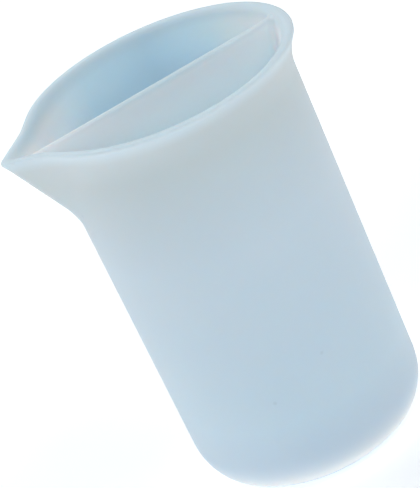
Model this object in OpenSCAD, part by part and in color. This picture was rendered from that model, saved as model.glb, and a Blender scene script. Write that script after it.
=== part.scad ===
// Split pouring cup: a soft moulded beaker with a V spout and an upright divider.
// The origin is the centre of the flat base, +Z is up and the spout points along -X.

/* [Cup] */
// Height of the rim above the flat base
cup_height = 120; // [100:1:140]
// Outer radius of the wall's straight line, taken down to the base plane
base_radius = 34.6; // [33:0.1:36]
// Outer radius of the wall's straight line, taken up to the rim plane
top_radius = 35.5; // [34:0.1:37]
// Thickness of the side wall
wall = 2.4; // [2:0.1:3]
// Thickness of the floor
floor_thickness = 3; // [2.5:0.5:4]

/* [Base corner] */
// Width of the elliptical corner between the base and the wall
corner_width = 8.5; // [7:0.5:10]
// Height of the elliptical corner between the base and the wall
corner_height = 12.5; // [11:0.5:15]

/* [Lip] */
// How far the lip flares out beyond the wall's line
lip_flare = 4.3; // [3.5:0.1:5]
// Height over which the lip flares out
flare_height = 12.5; // [10:0.5:14]
// Width of the lip at the rim
lip_width = 3.9; // [3.4:0.1:4.2]
// Radius of the lip's outer edge
lip_edge = 1.5; // [1.2:0.1:1.6]
// Radius of the lip's inner edge
inner_edge = 1.6; // [1:0.1:1.6]
// How far the rim plane rises 40 mm out towards the spout
rim_tilt = 0.4; // [0:0.1:0.8]

/* [Spout] */
// Distance of the spout's tip from the cup's axis
spout_reach = 48.8; // [46:0.1:50]
// Depth below the rim plane at which the spout's straight underside leaves the wall
spout_depth = 26; // [22:0.5:28]
// Half of the angle between the spout's two sides
spout_angle = 46; // [42:1:50]
// Radius of the spout's nose, seen from above
spout_nose = 2.4; // [1.8:0.1:2.8]
// Radius of the trough at the bottom of the spout, seen from above
trough_nose = 1.5; // [1.2:0.1:1.8]
// Thickness of the spout's sides
spout_wall = 3; // [2.9:0.1:3.4]
// How far the spout's edge flares beyond its straight sides
spout_flare = 0.5; // [0:0.1:0.8]
// Height over which the spout's edge flares
spout_flare_height = 5; // [4:0.5:7]
// How far the spout's tip lies below the rim plane
spout_drop = 1.5; // [0:0.1:2]
// Width of the outer blend between the spout and the wall
spout_blend = 2.6; // [2:0.1:3.2]
// Width of the inner blend between the spout's trough and the wall
trough_blend = 4.5; // [3:0.5:5]

/* [Divider] */
// Thickness of the divider
divider_thickness = 1.8; // [1.4:0.1:2.4]
// Depth of the divider's top edge below the rim plane, opposite the spout
divider_drop_back = 1.4; // [1.2:0.1:3]
// Depth of the divider's top edge below the rim plane, in the spout
divider_drop_spout = 2.8; // [2.4:0.1:5]
// Depth to which the divider's edges are let into the wall and the floor
divider_root = 0.3; // [0.1:0.1:0.6]

/* [Hidden] */
$fn = 96;
silicone_blue = "#b9d0e0";
rim_height = 32;            // the wall is round below the rim's joint, this far under its top
steps_around = 80;          // facets round the rim
spout_bunching = 0.62;      // 0 spaces the facets evenly, towards 1 gathers them at the spout
corner_steps = 10;          // steps round each elliptical corner
edge_steps = 3;             // steps round each edge of the lip
tilt_reach = 40;            // the distance from the axis at which rim_tilt is counted
corner_tightening = [1.6, 2];   // how much narrower and lower the inner corner is than the outer
top_corner_gap = 1;         // clear height under the divider's two top corners
rim_bottom = cup_height - rim_height;
spout_start = cup_height - spout_depth;
inner_corner_width = corner_width - corner_tightening[0];
inner_corner_height = corner_height - corner_tightening[1];

// Heights of the rim's rings, from the joint with the body up to the lip's edge
ring_gaps = [0, 1.5, 3, 4.5, 6, 7.5, 9, 11.5, 14, 17, 20, 22.5, 24.5, 26.5, 28.5];

// ---- Wall profile ----

// Outer radius of the straight wall line at height z
function wall_line(z) = base_radius + (top_radius - base_radius) * z / cup_height;

// Share of the flare reached at height z: 0 at the neck and 1 at the rim
function flare_share(z) = pow(max(0, (z - cup_height + flare_height) / flare_height), 2);

// How far an edge of radius r has turned in at height z
function edge_inset(z, r) =
    let (rise = max(0, (z - cup_height + r) / r))
    r * (1 - sqrt(max(0, 1 - rise * rise)));

function outer_body(z) = wall_line(z) + lip_flare * flare_share(z) - edge_inset(z, lip_edge);

function inner_body(z) =
    wall_line(z) - wall + (lip_flare + wall - lip_width) * flare_share(z)
    + edge_inset(z, inner_edge);

// ---- Spout ----

// Distance of the spout's ridge from the axis at height z
function ridge(z) =
    let (
        foot = wall_line(spout_start),
        straight = (spout_reach - spout_flare - foot) * (z - spout_start) / spout_depth,
        flare = spout_flare * pow(max(0, (z - cup_height) / spout_flare_height + 1), 2)
    )
    foot + straight + flare - edge_inset(z, lip_edge);

// A V with a round nose, seen from above: the radius at angle a from the spout's direction.
// side is the distance of the V's straight sides from the axis, nose its nose radius.
function vee(a, side, nose) =
    let (
        centre = max(1, (side - nose) / sin(spout_angle)),
        turn = atan2(nose * cos(spout_angle), centre + nose * sin(spout_angle))
    )
    a < turn
        ? centre * cos(a) + sqrt(max(0, nose * nose - pow(centre * sin(a), 2)))
        : side / sin(min(90, spout_angle + a));

function side_distance(z) = (ridge(z) - spout_nose) * sin(spout_angle) + spout_nose;

function outer_spout(a, z) = vee(a, side_distance(z), spout_nose);

// Distance of the trough's straight sides from the axis: the lip's outer edge leaves them straight
function trough_distance(z) =
    side_distance(z) - spout_wall
    + edge_inset(z, lip_edge) * sin(spout_angle) + edge_inset(z, inner_edge);

function inner_spout(a, z) = vee(a, trough_distance(z), trough_nose);

// The larger of p and q, with a smooth blend of the given width where they cross
function blend(p, q, width) =
    let (near = max(0, width - abs(p - q)))
    max(p, q) + near * near / (4 * width);

function outer_radius(a, z) = blend(outer_body(z), outer_spout(a, z), spout_blend);
function inner_radius(a, z) = blend(inner_body(z), inner_spout(a, z), trough_blend);

// Share of the rim's height reached at height z: 0 at the joint with the body and 1 at the lip
function rim_share(z) = (z - rim_bottom) / (cup_height - rim_bottom);

// How far a point at angle a and radius r stands above its ring's height: the rim plane
// tilts up a little towards the spout, and the spout itself dips towards its tip
function lift(a, r, z) =
    (rim_tilt * r * cos(a) / tilt_reach
        - spout_drop * max(0, r - outer_body(z)) / (spout_reach - top_radius))
    * rim_share(z);

// ---- Cup body ----

// Points of an elliptical corner, from the floor at height z0 out to the wall
function corner(z0, width, height, inset) = [
    for (i = [0 : corner_steps])
        let (z = z0 + height * (1 - cos(90 * i / corner_steps)))
        [wall_line(z) - inset - width * (1 - sin(90 * i / corner_steps)), z]
];

function reversed(list) = [for (i = [len(list) - 1 : -1 : 0]) list[i]];

module cup_body() {
    outside = corner(0, corner_width, corner_height, 0);
    inside = corner(floor_thickness, inner_corner_width, inner_corner_height, wall);
    color(silicone_blue)
        rotate_extrude()
            polygon(concat(
                [[0, 0]],
                outside,
                [[wall_line(rim_bottom), rim_bottom]],
                [[wall_line(rim_bottom) - wall, rim_bottom]],
                reversed(inside),
                [[0, floor_thickness]]
            ));
}

// ---- Pouring rim ----

// Angle of facet i, measured from the spout's direction
function facet_angle(i) =
    let (even = 360 * i / steps_around)
    even - spout_bunching * sin(even) * 180 / PI;

function from_spout(angle) = min(angle, 360 - angle);

function rim_point(angle, r, z) = [-r * cos(angle), -r * sin(angle), z + lift(angle, r, z)];

// Heights round an edge of radius r, up to the rim plane
function edge_heights(r) = [
    for (i = [0 : edge_steps]) cup_height - r + r * sin(90 * i / edge_steps)
];

outer_heights = concat([for (gap = ring_gaps) rim_bottom + gap], edge_heights(lip_edge));
inner_heights = concat([for (gap = ring_gaps) rim_bottom + gap], edge_heights(inner_edge));

module pouring_rim() {
    outer_rings = [
        for (z = outer_heights) [
            for (i = [0 : steps_around - 1])
                let (angle = facet_angle(i))
                rim_point(angle, outer_radius(from_spout(angle), z), z)
        ]
    ];
    inner_rings = [
        for (z = reversed(inner_heights)) [
            for (i = [0 : steps_around - 1])
                let (angle = facet_angle(i))
                rim_point(angle, inner_radius(from_spout(angle), z), z)
        ]
    ];
    rings = concat(outer_rings, inner_rings);
    ring_count = len(rings);
    points = [for (ring = rings) each ring];
    faces = [
        for (j = [0 : ring_count - 1], i = [0 : steps_around - 1])
            let (
                up = (j + 1) % ring_count,
                next = (i + 1) % steps_around,
                a = j * steps_around + i,
                b = j * steps_around + next,
                c = up * steps_around + next,
                d = up * steps_around + i
            )
            each [[a, c, b], [a, d, c]]
    ];
    color(silicone_blue) polyhedron(points, faces);
}

// ---- Divider ----

// The divider's outline lies in the plane through the spout and the axis
module divider() {
    floor_z = floor_thickness - divider_root;
    low_corner = corner(floor_z, inner_corner_width, inner_corner_height, wall - divider_root);
    spout_top = cup_height - divider_drop_spout;
    back_top = cup_height - divider_drop_back;
    spout_edge = [
        for (gap = ring_gaps)
            let (z = rim_bottom + gap)
            if (z < spout_top - top_corner_gap)
                [-inner_radius(0, z) - divider_root, z + lift(0, inner_radius(0, z), z)]
    ];
    back_edge = [
        for (gap = ring_gaps)
            let (z = rim_bottom + gap)
            if (z < back_top - top_corner_gap)
                [inner_radius(180, z) + divider_root, z]
    ];
    color(silicone_blue)
        rotate([90, 0, 0])
            linear_extrude(height = divider_thickness, center = true)
                polygon(concat(
                    low_corner,
                    back_edge,
                    [[inner_radius(180, back_top) + divider_root, back_top]],
                    [[-inner_radius(0, spout_top) - divider_root, spout_top]],
                    reversed(spout_edge),
                    reversed([for (p = low_corner) [-p[0], p[1]]])
                ));
}

cup_body();
pouring_rim();
divider();
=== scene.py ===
"""Split pouring cup: a soft moulded silicone beaker with a V spout and an upright divider.

The cup's surfaces follow the same driving dimensions and formulas as its CAD solids.
Lengths below are millimetres, as in the CAD source, and MM turns them into metres.
"""

import math

import bmesh
import bpy
import numpy as np
from mathutils import Matrix, Vector


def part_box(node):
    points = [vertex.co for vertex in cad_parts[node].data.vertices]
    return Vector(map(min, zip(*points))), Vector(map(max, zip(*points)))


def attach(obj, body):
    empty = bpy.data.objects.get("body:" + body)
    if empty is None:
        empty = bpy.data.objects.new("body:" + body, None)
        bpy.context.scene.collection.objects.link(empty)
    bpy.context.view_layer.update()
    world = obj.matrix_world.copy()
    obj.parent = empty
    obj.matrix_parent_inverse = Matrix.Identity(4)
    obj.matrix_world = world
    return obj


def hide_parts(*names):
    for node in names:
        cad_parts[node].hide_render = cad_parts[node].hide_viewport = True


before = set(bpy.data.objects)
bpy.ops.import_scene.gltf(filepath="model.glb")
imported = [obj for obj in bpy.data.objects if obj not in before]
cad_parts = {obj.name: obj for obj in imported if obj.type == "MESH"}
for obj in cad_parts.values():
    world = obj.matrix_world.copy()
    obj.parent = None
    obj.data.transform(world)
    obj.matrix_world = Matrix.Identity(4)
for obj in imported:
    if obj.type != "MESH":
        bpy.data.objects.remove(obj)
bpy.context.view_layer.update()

MM = 0.001

# ---- Driving dimensions, in millimetres ----

rim_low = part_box("pouring_rim")[0]

WALL = 2.4                    # side wall
FLOOR = 3.0                   # floor
BASE_RADIUS = 34.6            # the wall's straight line at the base plane
TOP_RADIUS = 35.5             # the wall's straight line at the rim plane
HEIGHT = 120.0                # rim plane
RIM_BOTTOM = rim_low[2] / MM  # where the round body ends and the rim starts
CORNER = (8.5, 12.5)          # width and height of the outer lower corner
INNER_CORNER = (6.9, 10.5)    # width and height of the inner lower corner
LIP_FLARE = 4.3
FLARE_HEIGHT = 12.5
LIP_WIDTH = 3.9
LIP_EDGE = 1.5                # outer edge radius of the lip
INNER_EDGE = 1.6              # inner edge radius of the lip
RIM_TILT = 0.4                # rise of the rim plane, TILT_REACH out towards the spout
TILT_REACH = 40.0
SPOUT_REACH = 48.8
SPOUT_START = 94.0
SPOUT_ANGLE = math.radians(46)
SPOUT_NOSE = 2.4
TROUGH_NOSE = 1.5
SPOUT_WALL = 3.0
SPOUT_FLARE = 0.5             # how far the spout's edge flares beyond its straight sides
SPOUT_FLARE_HEIGHT = 5.0
SPOUT_DROP = 1.5
SPOUT_BLEND = 2.6             # blend between spout and wall, outside
TROUGH_BLEND = 4.5            # and inside
WEB_THICKNESS = 1.8
WEB_TOP_BACK = HEIGHT - 1.4
WEB_TOP_SPOUT = HEIGHT - 2.8
WEB_FILLET = 1.8              # fillets between the divider and the wall and floor
WEB_EDGE = 0.75               # edge radius of the divider's top
END_RISE = 0.4                # how far the divider's top turns up into the lip, at the back
END_RISE_LENGTH = 7.0
DEEPEST_PAINTED_SHADE_Z = HEIGHT - 22.0      # painted shade inside is deepest, and painted light on the divider weakest, at this height
PAINTED_LIGHT_BELOW_Z = HEIGHT - 50.0      # and painted light makes it pale from this height down

# ---- How finely the skin is divided ----

ARC_POINTS = 12                               # along each fillet
FACE_POINTS = 70                              # along the divider's face
WALL_POINTS = 145                             # along the wall, from fillet to fillet
ACROSS = np.linspace(-1, 1, 7)                # across the divider's top
FOOT_ROWS, CORNER_ROWS, BODY_ROWS, RIM_ROWS, TOP_ROWS = 8, 10, 22, 26, 8    # up the inside
LIP_INSIDE_RINGS, LIP_EDGE_RINGS = 14, 8      # up to the lip and round its outer edge
RIM_OUTSIDE_RINGS, BODY_OUTSIDE_RINGS, CORNER_RINGS = 46, 26, 18            # down the outside
LIP_TOP_SHARES = (0.33, 0.67, 1)              # rings across the flat top of the lip
FILL_SHARES = (0.97, 0.85, 0.6, 0.3)          # rings that close a flat outline
HALF_FLOOR_CENTRE = 0.42                      # of the radius, from the divider
SPOUT_BUNCHING = 0.62                         # 0 spaces points evenly, 1 crowds them at the spout
EVEN_SHARES = np.linspace(0, 1, WALL_POINTS)
WALL_SHARES = EVEN_SHARES - SPOUT_BUNCHING * np.sin(math.pi * EVEN_SHARES) / math.pi

# How closely the fillets and the rows are fitted to the wall
FILLET_SPREADS = np.linspace(0, 0.5, 700)     # angles searched for a fillet's end, in radians
NEAREST_CENTRE = 5.0                          # closest to the axis that a fillet's centre can be
BISECTIONS = 40
WALL_PASSES = 5
THINNEST_FILLET = 0.35                        # share of WEB_FILLET left at the divider's top
END_RISE_POWER = 8                            # how late on the way up END_RISE comes in


# ---- Surfaces of the cup ----

def wall_line(z):
    return BASE_RADIUS + (TOP_RADIUS - BASE_RADIUS) * z / HEIGHT


def flare_share(z):
    return np.maximum(0, (z - HEIGHT + FLARE_HEIGHT) / FLARE_HEIGHT) ** 2


def edge_inset(z, radius):
    rise = np.clip((z - HEIGHT + radius) / radius, 0, 1)
    return radius * (1 - np.sqrt(1 - rise * rise))


def outer_body(z):
    return wall_line(z) + LIP_FLARE * flare_share(z) - edge_inset(z, LIP_EDGE)


def inner_body(z):
    flare = LIP_FLARE + WALL - LIP_WIDTH
    return wall_line(z) - WALL + flare * flare_share(z) + edge_inset(z, INNER_EDGE)


def ridge(z):
    foot = wall_line(SPOUT_START)
    slope = (SPOUT_REACH - SPOUT_FLARE - foot) / (HEIGHT - SPOUT_START)
    flare = SPOUT_FLARE * np.maximum(0, (z - HEIGHT) / SPOUT_FLARE_HEIGHT + 1) ** 2
    return foot + slope * (z - SPOUT_START) + flare - edge_inset(z, LIP_EDGE)


def vee(angle, side, nose):
    """A V with a round nose, seen from above: its radius at an angle from the spout's direction."""
    centre = np.maximum(1, (side - nose) / math.sin(SPOUT_ANGLE))
    turn = np.arctan2(nose * math.cos(SPOUT_ANGLE), centre + nose * math.sin(SPOUT_ANGLE))
    tip = centre * np.cos(angle) + np.sqrt(np.maximum(0, nose**2 - (centre * np.sin(angle))**2))
    flat = side / np.sin(np.minimum(math.pi / 2, SPOUT_ANGLE + angle))
    return np.where(angle < turn, tip, flat)


def side_distance(z):
    return (ridge(z) - SPOUT_NOSE) * math.sin(SPOUT_ANGLE) + SPOUT_NOSE


def trough_distance(z):
    """Distance of the trough's straight sides from the axis."""
    return (side_distance(z) - SPOUT_WALL + edge_inset(z, LIP_EDGE) * math.sin(SPOUT_ANGLE)
            + edge_inset(z, INNER_EDGE))


def blend(p, q, width):
    near = np.maximum(0, width - np.abs(p - q))
    return np.maximum(p, q) + near * near / (4 * width)


def from_spout(angle):
    return np.abs((angle + math.pi) % (2 * math.pi) - math.pi)


def outer_radius(angle, z):
    spout = vee(from_spout(angle), side_distance(z), SPOUT_NOSE)
    return blend(outer_body(z), spout, SPOUT_BLEND)


def inner_radius(angle, z):
    trough = vee(from_spout(angle), trough_distance(z), TROUGH_NOSE)
    return blend(inner_body(z), trough, TROUGH_BLEND)


def lift(angle, radius, z):
    share = np.clip((z - RIM_BOTTOM) / (HEIGHT - RIM_BOTTOM), 0, 1)
    tilt = RIM_TILT * radius * np.cos(angle) / TILT_REACH
    drop = SPOUT_DROP * np.maximum(0, radius - outer_body(z)) / (SPOUT_REACH - TOP_RADIUS)
    return (tilt - drop) * share


def ring(angles, radius, z):
    """One ring of points; the spout points along -X."""
    return np.stack([-radius * np.cos(angles), -radius * np.sin(angles),
                     z + lift(angles, radius, z)], axis=-1)


def corner_rings(angles, z0, size, inset, steps):
    """The elliptical lower corner, from the floor at z0 out to the wall."""
    rings = []
    for turn in np.linspace(0, math.pi / 2, steps + 1):
        z = z0 + size[1] * (1 - math.cos(turn))
        radius = wall_line(z) - inset - size[0] * (1 - math.sin(turn))
        rings.append(ring(angles, np.full_like(angles, radius), z))
    return rings


def edge_heights(radius, steps):
    return HEIGHT - radius + radius * np.sin(np.linspace(0, math.pi / 2, steps + 1))


# ---- Meshes ----

def new_piece(name, points, faces):
    mesh = bpy.data.meshes.new(name)
    mesh.from_pydata((np.asarray(points) * MM).tolist(), [], faces)
    skin = bmesh.new()
    skin.from_mesh(mesh)
    bmesh.ops.recalc_face_normals(skin, faces=skin.faces)
    skin.to_mesh(mesh)
    skin.free()
    mesh.polygons.foreach_set("use_smooth", [True] * len(mesh.polygons))
    piece = bpy.data.objects.new(name, mesh)
    bpy.context.scene.collection.objects.link(piece)
    return piece


# ---- Inside outline, row by row ----

def corner_inset(z):
    """How far the inner lower corner stands in from the wall's line at height z."""
    share = np.clip((FLOOR + INNER_CORNER[1] - z) / INNER_CORNER[1], 0, 1)
    return INNER_CORNER[0] * (1 - np.sqrt(1 - share * share))


class Row:
    """One row of the inside: its height along X, the divider's half thickness and its fillet.

    Its height runs from z_spout at the spout's end to z_back at the other one, and turns up
    by end_share of END_RISE where the divider's top meets the wall.
    """

    def __init__(self, z_spout, z_back, half, fillet, end_share=0.0):
        self.z_spout, self.z_back = z_spout, z_back
        self.half, self.fillet, self.end_share = half, fillet, end_share

    def height(self, x):
        share = (x + SPOUT_REACH) / (SPOUT_REACH + TOP_RADIUS)
        level = self.z_spout + (self.z_back - self.z_spout) * share
        near_back = np.clip((x - TOP_RADIUS + END_RISE_LENGTH) / END_RISE_LENGTH, 0, 1)
        return level + self.end_share * END_RISE * near_back**2

    def wall(self, angles):
        """Points of the wall on this row, and the ring heights that they stem from."""
        z = self.height(-TOP_RADIUS * np.cos(angles))
        for _ in range(WALL_PASSES):
            radius = inner_radius(angles, z) - corner_inset(z)
            z = self.height(-radius * np.cos(angles)) - lift(angles, radius, z)
        x, y = -radius * np.cos(angles), -radius * np.sin(angles)
        return np.stack([x, y, self.height(x)], axis=-1), z

    def fillet_arc(self, centre_angle):
        """The fillet from the divider's face to the wall, and the angle where it meets the wall.

        Its circle touches the face and the wall. centre_angle is the direction of this end.
        """
        angles = np.abs(centre_angle - FILLET_SPREADS)
        wall = self.wall(angles)[0]
        reach, aside = np.abs(wall[:, 0]), np.abs(wall[:, 1])
        offset = self.half + self.fillet
        near, far = NEAREST_CENTRE, float(np.interp(offset, aside, reach))
        for _ in range(BISECTIONS):
            centre = (near + far) / 2
            gaps = np.hypot(reach - centre, aside - offset)
            if gaps.min() > self.fillet:
                near = centre
            else:
                far = centre
        touch = int(gaps.argmin())
        end = math.atan2(aside[touch] - offset, reach[touch] - centre)
        turns = np.linspace(-math.pi / 2, end, ARC_POINTS)
        x = (centre + self.fillet * np.cos(turns)) * math.copysign(1, wall[touch, 0])
        y = -(offset + self.fillet * np.sin(turns))
        arc = np.stack([x, y, self.height(x)], axis=-1)
        arc[-1] = wall[touch]
        return arc, float(angles[touch])

    def outline(self):
        """The outline of the -Y compartment: fillet, wall, fillet and the divider's face."""
        spout_arc, spout_angle = self.fillet_arc(0.0)
        back_arc, back_angle = self.fillet_arc(math.pi)
        angles = spout_angle + (back_angle - spout_angle) * WALL_SHARES
        wall, ring_heights = self.wall(angles)
        shares = np.linspace(0, 1, FACE_POINTS + 2)[1:-1, None]
        face = back_arc[0] + (spout_arc[0] - back_arc[0]) * shares
        face[:, 2] = self.height(face[:, 0])
        points = np.concatenate([spout_arc, wall[1:-1], back_arc[::-1], face])
        return points, angles, ring_heights


def inside_rows():
    """The rows from the floor up to the middle of the divider's rounded top."""
    half = WEB_THICKNESS / 2
    corner_top = FLOOR + INNER_CORNER[1]
    foot = FLOOR + WEB_FILLET * (1 - np.cos(np.linspace(0, math.pi / 2, FOOT_ROWS)))
    rows = []
    for z in np.concatenate([foot, np.linspace(foot[-1], corner_top, CORNER_ROWS)[1:],
                             np.linspace(corner_top, RIM_BOTTOM, BODY_ROWS)[1:]]):
        rise = max(0, FLOOR + WEB_FILLET - z)
        spread = WEB_FILLET - math.sqrt(WEB_FILLET**2 - rise**2)
        rows.append(Row(z, z, half + spread, WEB_FILLET))
    for share in np.linspace(0, 1, RIM_ROWS)[1:]:
        tops = [RIM_BOTTOM + (top - WEB_EDGE - RIM_BOTTOM) * share
                for top in (WEB_TOP_SPOUT, WEB_TOP_BACK)]
        rows.append(Row(*tops, half, WEB_FILLET, share**END_RISE_POWER))
    for turn in np.linspace(0, math.pi / 2, TOP_ROWS)[1:]:
        sink = WEB_EDGE * (1 - math.sin(turn))
        inset = WEB_EDGE * (1 - math.cos(turn))
        rows.append(Row(WEB_TOP_SPOUT - sink, WEB_TOP_BACK - sink, half - inset,
                        WEB_FILLET * max(THINNEST_FILLET, math.cos(turn)), 1.0))
    return rows


class Skin:
    """Points and faces of one closed skin, built row by row."""

    def __init__(self):
        self.points, self.faces = [], []

    def row(self, points):
        start = len(self.points)
        self.points += [list(point) for point in points]
        return list(range(start, len(self.points)))

    def stitch(self, low, high, closed=True):
        for i in range(len(low) if closed else len(low) - 1):
            j = (i + 1) % len(low)
            self.faces.append((low[i], low[j], high[j], high[i]))

    def stitch_down(self, row, rings):
        for ring_points in rings:
            below = self.row(ring_points)
            self.stitch(row, below)
            row = below
        return row

    def fill(self, row, centre):
        """Close a flat outline with rings that shrink towards its centre."""
        outline = np.array([self.points[i] for i in row])
        middle = np.array(centre, dtype=float)
        row = self.stitch_down(row, [middle + (outline - middle) * share
                                     for share in FILL_SHARES])
        tip = self.row([middle])[0]
        self.faces += [(row[i], row[(i + 1) % len(row)], tip) for i in range(len(row))]


def web_share(points):
    """1 on the divider's faces, falling to 0 across the fillets and at its top, 0 on the wall."""
    x, y, z = points.T
    wall = inner_radius(np.arctan2(-y, -x), z) - corner_inset(z)
    share = (x + SPOUT_REACH) / (SPOUT_REACH + TOP_RADIUS)
    top = WEB_TOP_SPOUT + (WEB_TOP_BACK - WEB_TOP_SPOUT) * share
    gaps = (WEB_THICKNESS / 2 + WEB_FILLET - np.abs(y), wall - np.hypot(x, y), z - FLOOR, top - z)
    return np.prod([np.clip(gap / WEB_FILLET, 0, 1) for gap in gaps], axis=0)


def inside_share(points):
    """1 on the inside of the wall, falling to 0 up its last few millimetres, 0 on the outside."""
    x, y, z = points.T
    angle = np.arctan2(-y, -x)
    middle = (inner_radius(angle, z) + outer_radius(angle, z)) / 2
    inwards = np.clip(0.5 + (middle - np.hypot(x, y)) / WALL, 0, 1)
    return inwards * np.clip(z - FLOOR / 2, 0, 1) * np.clip((HEIGHT - z) / LIP_WIDTH, 0, 1)


def compartment(skin, outlines, side):
    """The floor, wall and divider's face on one side of the cup. Returns the loop at its top."""
    loops = [skin.row(points * [1, side, 1]) for points, _, _ in outlines]
    for low, high in zip(loops, loops[1:]):
        skin.stitch(low, high)
    skin.fill(loops[0], (0, -HALF_FLOOR_CENTRE * side * BASE_RADIUS, FLOOR))
    return loops[-1]


def divider_top(skin, far_loop, near_loop, spout_wall, back_wall):
    """Rows across the divider's top, from the spout's end to the other one.

    Returns the first and the last of them, which lie on the wall.
    """
    back_contact = ARC_POINTS + WALL_POINTS - 2
    back_arc_end = back_contact + ARC_POINTS
    path = (list(range(ARC_POINTS - 1, -1, -1))
            + list(range(back_arc_end + FACE_POINTS - 1, back_arc_end - 1, -1))
            + list(range(back_arc_end - 1, back_contact - 1, -1)))
    cross_rows = []
    for place, i in enumerate(path):
        far, near = far_loop[i], near_loop[i]
        ends = np.array([skin.points[far], skin.points[near]])
        if place == 0:
            inner = spout_wall[1:-1]
        elif place == len(path) - 1:
            inner = back_wall[1:-1]
        else:
            inner = [ends[0] + (ends[1] - ends[0]) * (one + 1) / 2 for one in ACROSS[1:-1]]
        cross_rows.append([far] + skin.row(inner) + [near])
    for low, high in zip(cross_rows, cross_rows[1:]):
        skin.stitch(low, high, closed=False)
    return cross_rows[0], cross_rows[-1]


def lip_and_outside(angles, start):
    """Rings from the heights in start up to the lip, over it and down the outside to the base."""
    rings = []
    for share in np.sin(np.linspace(0, math.pi / 2, LIP_INSIDE_RINGS))[1:]:
        z = start + (HEIGHT - start) * share
        rings.append(ring(angles, inner_radius(angles, z), z))
    inside_edge = rings[-1]
    outside_edge = ring(angles, outer_radius(angles, HEIGHT), HEIGHT)
    rings += [inside_edge + (outside_edge - inside_edge) * share for share in LIP_TOP_SHARES]
    down = np.concatenate([edge_heights(LIP_EDGE, LIP_EDGE_RINGS)[-2::-1],
                           np.linspace(HEIGHT - LIP_EDGE, RIM_BOTTOM, RIM_OUTSIDE_RINGS)[1:],
                           np.linspace(RIM_BOTTOM, CORNER[1], BODY_OUTSIDE_RINGS)[1:-1]])
    rings += [ring(angles, outer_radius(angles, z), z) for z in down]
    return rings + corner_rings(angles, 0, CORNER, 0, CORNER_RINGS)[::-1]


def make_cup():
    """The whole moulding as one closed skin: two compartments inside, one wall outside."""
    skin = Skin()
    rows = inside_rows()
    outlines = [one.outline() for one in rows]
    near_loop = compartment(skin, outlines, 1)
    far_loop = compartment(skin, outlines, -1)

    _, angles, ring_heights = outlines[-1]
    spout_wall, spout_heights = rows[-1].wall(angles[0] * ACROSS)
    back_wall, back_heights = rows[-1].wall(math.pi - (math.pi - angles[-1]) * ACROSS)
    spout_row, back_row = divider_top(skin, far_loop, near_loop, spout_wall, back_wall)

    # The ring that the lip starts from: the divider's two ends and the wall between them
    wall_columns = slice(ARC_POINTS, ARC_POINTS + WALL_POINTS - 2)
    start_ring = (spout_row + near_loop[wall_columns] + back_row[::-1]
                  + far_loop[wall_columns][::-1])
    around = np.concatenate([angles[0] * ACROSS, angles[1:-1],
                             math.pi + (math.pi - angles[-1]) * ACROSS, -angles[1:-1][::-1]])
    start = np.concatenate([spout_heights, ring_heights[1:-1],
                            back_heights, ring_heights[1:-1][::-1]])
    bottom = skin.stitch_down(start_ring, lip_and_outside(around, start))
    skin.fill(bottom, (0, 0, 0))

    cup = new_piece("cup_moulding", skin.points, skin.faces)
    points = np.array(skin.points)
    for name, values in (("web_share", web_share(points)), ("inside_share", inside_share(points))):
        cup.data.attributes.new(name, "FLOAT", "POINT").data.foreach_set("value", values)
    return cup


# ---- Material ----

# Tints, as (share of the way, colour). The outside ramp runs from the base up to the rim, the
# inside ramp from the spout's tip to the wall opposite it, the depth and divider ramps from the
# height of the deepest painted shade up to WEB_TOP_BACK, and the cloud ramp by the strength of the
# clouds' noise.
# All but the cloud ramp and the specks paint light and shade into the colour: painted shade deep in
# the middle of the inside, painted light in the spout, opposite it, low down and on the divider,
# and, outside, a painted highlight on the lip's top over a blue that turns greyer near the rim.
OUTSIDE_TINTS_AND_LIP_LIGHT = ((0.03, (0.615, 0.71, 0.81)), (0.20, (0.66, 0.795, 0.92)),
                 (0.65, (0.68, 0.775, 0.845)), (0.90, (0.65, 0.70, 0.705)),
                 (0.96, (0.65, 0.70, 0.71)), (1.0, (0.70, 0.79, 0.84)))
INSIDE_PAINTED_LIGHT_AND_SHADE = ((0.20, (1.0, 1.0, 1.0)), (0.42, (0.74, 0.84, 0.89)), (0.66, (0.67, 0.79, 0.85)),
                (0.85, (0.80, 0.91, 0.99)), (1.0, (1.0, 1.0, 1.0)))
DEPTH_PAINTED_SHADE = ((0.0, (0.84, 0.85, 0.86)), (1.0, (1.0, 1.0, 1.0)))
WEB_PAINTED_LIGHT = ((0.0, (0.78, 0.91, 1.0)), (1.0, (0.93, 1.0, 1.0)))
INSIDE_LOW_PAINTED_LIGHT = (0.93, 0.965, 0.99, 1)
WEB_LOW_PAINTED_LIGHT = (0.93, 0.97, 1.0, 1)
CLOUD_TINTS = ((0.3, (0.975, 0.985, 0.99)), (0.7, (1.0, 1.0, 1.0)))
SPECK_COLOUR = (0.45, 0.55, 0.62, 1)
SPECK_EDGE = (0.02, 0.045)    # distances from a cell's centre between which a speck fades out
SPECK_STRENGTH = 0.25

# Scales of the noises and of the specks' cells, per metre
CLOUD_SCALE, POLISH_SCALE, GRAIN_SCALE, SPECK_SCALE = 28, 90, 1400, 60


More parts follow.
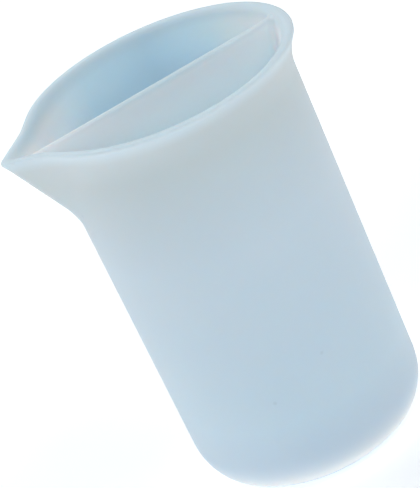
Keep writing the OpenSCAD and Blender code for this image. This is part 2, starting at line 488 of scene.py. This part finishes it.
class Graph:
    """The shader nodes of one material, mapped in the object's own space."""

    def __init__(self, name):
        self.material = bpy.data.materials.new(name)
        self.material.use_nodes = True
        tree = self.material.node_tree
        tree.nodes.clear()
        self.tree = tree
        self.place = self.node("ShaderNodeTexCoord").outputs["Object"]

    def node(self, kind, **inputs):
        """A new node, with its named inputs set to numbers or linked to sockets."""
        node = self.tree.nodes.new(kind)
        for name, value in inputs.items():
            self.feed(value, node.inputs[name.replace("_", " ")])
        return node

    def feed(self, value, socket):
        if isinstance(value, bpy.types.NodeSocket):
            self.tree.links.new(value, socket)
        else:
            socket.default_value = value

    def noise(self, scale, detail, roughness=0.5):
        return self.node("ShaderNodeTexNoise", Scale=scale, Detail=detail, Roughness=roughness,
                         Vector=self.place).outputs["Fac"]

    def remap(self, value, source, target):
        return self.node("ShaderNodeMapRange", Value=value, From_Min=source[0], From_Max=source[1],
                         To_Min=target[0], To_Max=target[1]).outputs["Result"]

    def mixed(self, blend_type, factor, first, second):
        node = self.node("ShaderNodeMix")
        node.data_type = "RGBA"
        node.blend_type = blend_type
        for index, value in ((0, factor), (6, first), (7, second)):
            self.feed(value, node.inputs[index])
        return node.outputs[2]

    def attribute(self, name):
        node = self.node("ShaderNodeAttribute")
        node.attribute_name = name
        return node.outputs["Fac"]

    def ramp(self, value, stops):
        node = self.node("ShaderNodeValToRGB", Fac=value)
        elements = node.color_ramp.elements
        while len(elements) < len(stops):
            elements.new(0.5)
        for element, (position, colour) in zip(elements, stops):
            element.position, element.color = position, (*colour, 1)
        return node.outputs["Color"]

    def along(self, axis, low, high, stops):
        """A colour ramp along an axis, between two places in millimetres."""
        return self.ramp(self.remap(axis, (low * MM, high * MM), (0, 1)), stops)


def tint_with_painted_light(graph):
    """The silicone's tint by region, outside, inside and on the divider, with painted light and
    shade in it.
    """
    axes = graph.node("ShaderNodeSeparateXYZ", Vector=graph.place).outputs

    # Outside, it turns from a clear blue low down to a greyer one near the rim, and a paler top
    # stop paints light on the lip's top
    outside = graph.along(axes["Z"], 0, HEIGHT, OUTSIDE_TINTS_AND_LIP_LIGHT)

    # Inside, painted light makes it pale in the spout, opposite it and low down, and painted shade
    # makes it deepest in the middle, some way below the divider's top
    inside = graph.along(axes["X"], -SPOUT_REACH, TOP_RADIUS, INSIDE_PAINTED_LIGHT_AND_SHADE)
    depth = graph.along(axes["Z"], DEEPEST_PAINTED_SHADE_Z, WEB_TOP_BACK, DEPTH_PAINTED_SHADE)
    inside = graph.mixed("MULTIPLY", 1.0, inside, depth)
    painted_light_low = graph.remap(axes["Z"], (PAINTED_LIGHT_BELOW_Z * MM, DEEPEST_PAINTED_SHADE_Z * MM), (1, 0))
    inside = graph.mixed("MIX", painted_light_low, inside, INSIDE_LOW_PAINTED_LIGHT)
    colour = graph.mixed("MIX", graph.attribute("inside_share"), outside, inside)

    # Painted light makes the thin divider paler than the wall, most of all near its top and low
    # down
    web = graph.along(axes["Z"], DEEPEST_PAINTED_SHADE_Z, WEB_TOP_BACK, WEB_PAINTED_LIGHT)
    web = graph.mixed("MIX", painted_light_low, web, WEB_LOW_PAINTED_LIGHT)
    return graph.mixed("MIX", graph.attribute("web_share"), colour, web)


def clouded(graph, colour):
    """Faint clouds in the silicone, and a few small specks."""
    clouds = graph.ramp(graph.noise(CLOUD_SCALE, 3), CLOUD_TINTS)
    colour = graph.mixed("MULTIPLY", 1.0, colour, clouds)
    cells = graph.node("ShaderNodeTexVoronoi", Scale=SPECK_SCALE, Vector=graph.place)
    speck = graph.remap(cells.outputs["Distance"], SPECK_EDGE, (SPECK_STRENGTH, 0))
    return graph.mixed("MIX", speck, colour, SPECK_COLOUR)


def silicone():
    """Pale blue translucent silicone: matt, faintly clouded, with a fine moulded grain."""
    graph = Graph("silicone_skin")
    grain = graph.node("ShaderNodeBump", Strength=0.12, Distance=0.0001,
                       Height=graph.noise(GRAIN_SCALE, 3, 0.6))
    shader = graph.node(
        "ShaderNodeBsdfPrincipled",
        Base_Color=clouded(graph, tint_with_painted_light(graph)),
        Roughness=graph.remap(graph.noise(POLISH_SCALE, 2), (0, 1), (0.54, 0.68)),
        Normal=grain.outputs["Normal"],
        Subsurface_Weight=1.0,
        Subsurface_Radius=(0.7, 0.9, 1.0),
        Subsurface_Scale=0.0035,
        Specular_IOR_Level=0.2,
        IOR=1.41)
    graph.node("ShaderNodeOutputMaterial", Surface=shader.outputs["BSDF"])
    return graph.material


# ---- Studio ----

FLOOR_REACH = 6.0             # half the floor's width, in metres
SOFTBOX_DISTANCE = 1.6        # from the middle of the cup, in metres
SOFTBOX_COLOUR = (0.905, 0.955, 1.0)

# Name, azimuth and elevation in degrees, power in watts and diameter in metres
SOFTBOXES = (("left_front", -50, 35, 8.8, 1.0),
             ("right_front", 42, 52, 6.4, 1.0),
             ("right", 75, 30, 4.5, 1.0),
             ("left_back", -135, 42, 4.8, 0.9),
             ("back", 180, 42, 9.8, 0.9))


def make_floor():
    """A wide white floor that glows a little, so that it comes out as plain white."""
    mesh = bpy.data.meshes.new("floor")
    corners = [(x * FLOOR_REACH, y * FLOOR_REACH, 0)
               for x, y in ((-1, -1), (1, -1), (1, 1), (-1, 1))]
    mesh.from_pydata(corners, [], [(0, 1, 2, 3)])
    floor = bpy.data.objects.new("floor", mesh)
    bpy.context.scene.collection.objects.link(floor)
    material = bpy.data.materials.new("floor_white")
    material.use_nodes = True
    shader = material.node_tree.nodes["Principled BSDF"]
    shader.inputs["Base Color"].default_value = (0.93, 0.93, 0.93, 1)
    shader.inputs["Roughness"].default_value = 0.9
    shader.inputs["Specular IOR Level"].default_value = 0.1
    shader.inputs["Emission Color"].default_value = (1, 0.99, 0.98, 1)
    shader.inputs["Emission Strength"].default_value = 0.4
    mesh.materials.append(material)
    return floor


def make_dark_world():
    """All the light comes from the studio's softboxes and the white floor."""
    world = bpy.data.worlds.new("studio")
    bpy.context.scene.world = world
    world.use_nodes = True
    world.node_tree.nodes["Background"].inputs["Strength"].default_value = 0


def softbox(name, azimuth, elevation, power, size):
    """A round softbox on a ring about the cup; azimuth 0 is in front, 90 on the right."""
    turn, rise = math.radians(azimuth), math.radians(elevation)
    aim = Vector((0, 0, HEIGHT / 2 * MM))
    away = Vector((math.sin(turn) * math.cos(rise), -math.cos(turn) * math.cos(rise),
                   math.sin(rise)))
    data = bpy.data.lights.new(name, "AREA")
    data.shape = "DISK"
    data.size = size
    data.energy = power
    data.color = SOFTBOX_COLOUR
    light = bpy.data.objects.new(name, data)
    light.location = aim + away * SOFTBOX_DISTANCE
    light.rotation_euler = (-away).to_track_quat("-Z", "Y").to_euler()
    bpy.context.scene.collection.objects.link(light)


def make_studio():
    bpy.context.scene.view_settings.view_transform = "Standard"
    bpy.context.scene.cycles.diffuse_bounces = 10
    make_dark_world()
    for settings in SOFTBOXES:
        softbox(*settings)
    make_floor()


def make_camera():
    """Seen from the front, a little left of it and 26 degrees above, rolled in the frame."""
    azimuth, elevation, roll = math.radians(-10.9), math.radians(26.08), math.radians(-25.09)
    distance, sideways, target_height = 0.600, -0.0061, 0.06757     # in metres
    back = Vector((math.sin(azimuth) * math.cos(elevation),
                   -math.cos(azimuth) * math.cos(elevation), math.sin(elevation)))
    target = Vector((sideways * math.cos(azimuth), sideways * math.sin(azimuth), target_height))
    right = (-back).cross(Vector((0, 0, 1))).normalized()
    up = right.cross(-back)
    turned_right = right * math.cos(roll) + up * math.sin(roll)
    turned_up = up * math.cos(roll) - right * math.sin(roll)
    data = bpy.data.cameras.new("camera")
    data.sensor_width = 36
    data.lens = 159.07
    data.clip_start = 0.01
    camera = bpy.data.objects.new("camera", data)
    axes = Matrix((turned_right, turned_up, back)).transposed()
    camera.matrix_world = Matrix.Translation(target + back * distance) @ axes.to_4x4()
    bpy.context.scene.collection.objects.link(camera)
    bpy.context.scene.camera = camera


make_camera()
make_studio()

cup = make_cup()
cup.data.materials.append(silicone())
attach(cup, "root")
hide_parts("cup_body", "pouring_rim", "divider")
